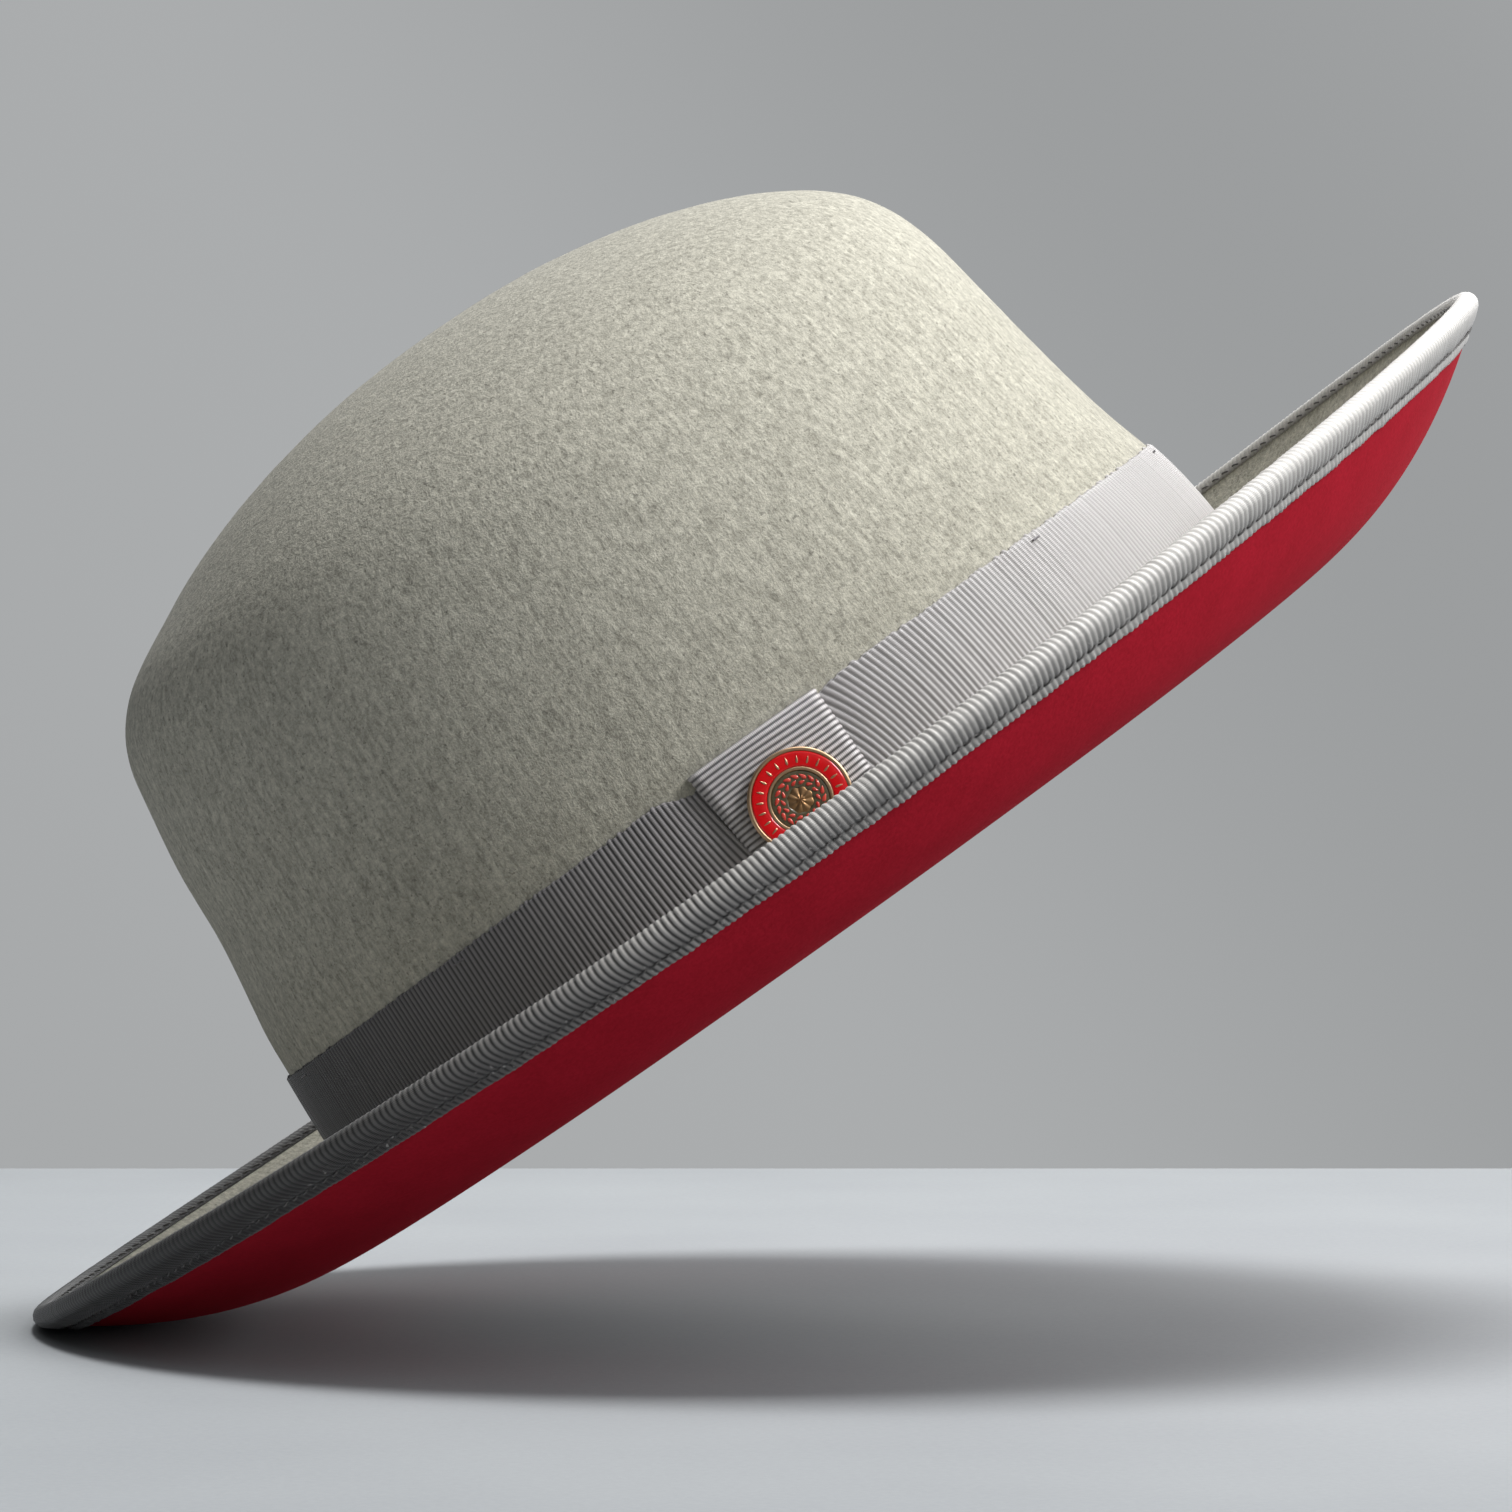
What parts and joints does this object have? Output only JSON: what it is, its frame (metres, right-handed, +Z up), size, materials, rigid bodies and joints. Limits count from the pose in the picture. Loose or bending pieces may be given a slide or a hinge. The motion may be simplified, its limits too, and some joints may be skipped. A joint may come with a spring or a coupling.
{
  "type": "bowler hat",
  "caption": "Hard felt hat with a domed crown, upturned ribbon-bound brim, ribbon band with a flat knot, a round enamel badge, leather sweatband and satin lining.",
  "frame": {"origin": "middle of the plane that the brim stands on, under the centre of the crown's oval", "axes": "+Z up through the crown; -X towards the wearer's front; -Y towards the wearer's left, where the knot and badge are"},
  "size_m": [0.342, 0.278, 0.1365],
  "materials": {
    "grey_felt": "mottled wool felt",
    "red_felt": "smooth crimson felt",
    "ribbon": "ribbed grosgrain",
    "ribbon_binding": "ribbed grosgrain, folded over the edge",
    "thread": "sewing thread",
    "buckram": "stiffened cloth",
    "badge_gold": "polished gold plate",
    "enamel_red": "gloss enamel",
    "enamel_bronze": "satin enamel",
    "enamel_coral": "gloss enamel",
    "pin_steel": "bright wire",
    "clutch_brass": "satin",
    "spring_steel": "bright strip",
    "sweat_leather": "fine-grained leather",
    "reed_plastic": "satin",
    "satin": "satin lining",
    "piping": "corded satin",
    "clear_sheet": "clear film",
    "tag_cloth": "woven tape"
  },
  "bodies": {
    "hat": {"felt_crown": "grey_felt", "felt_brim": "grey_felt", "brim_underlay": "red_felt", "edge_binding": "ribbon_binding", "binding_thread": "thread", "hat_band": "ribbon", "band_tacks": "thread", "bow_core": "buckram", "bow_knot": "ribbon", "sweatband": "sweat_leather", "sweatband_reed": "reed_plastic", "sweatband_thread": "thread", "sweatband_bow": "satin", "lining_side": "satin", "lining_tip": "satin", "lining_piping": "piping", "tip_shield": "clear_sheet", "size_tag": "tag_cloth"},
    "badge": {"badge_body": "badge_gold", "badge_ring_enamel": "enamel_red", "badge_field_enamel": "enamel_bronze", "badge_beads": "enamel_coral", "badge_post": "pin_steel", "clutch_body": "clutch_brass", "clutch_spring": "spring_steel"}
  },
  "joints": [
    {"name": "badge_turn", "type": "hinge", "parent": "hat", "child": "badge", "pos_m": [0, -0.08894, 0.0229], "axis": [0, -0.9974, 0.0715], "continuous": true}
  ]
}
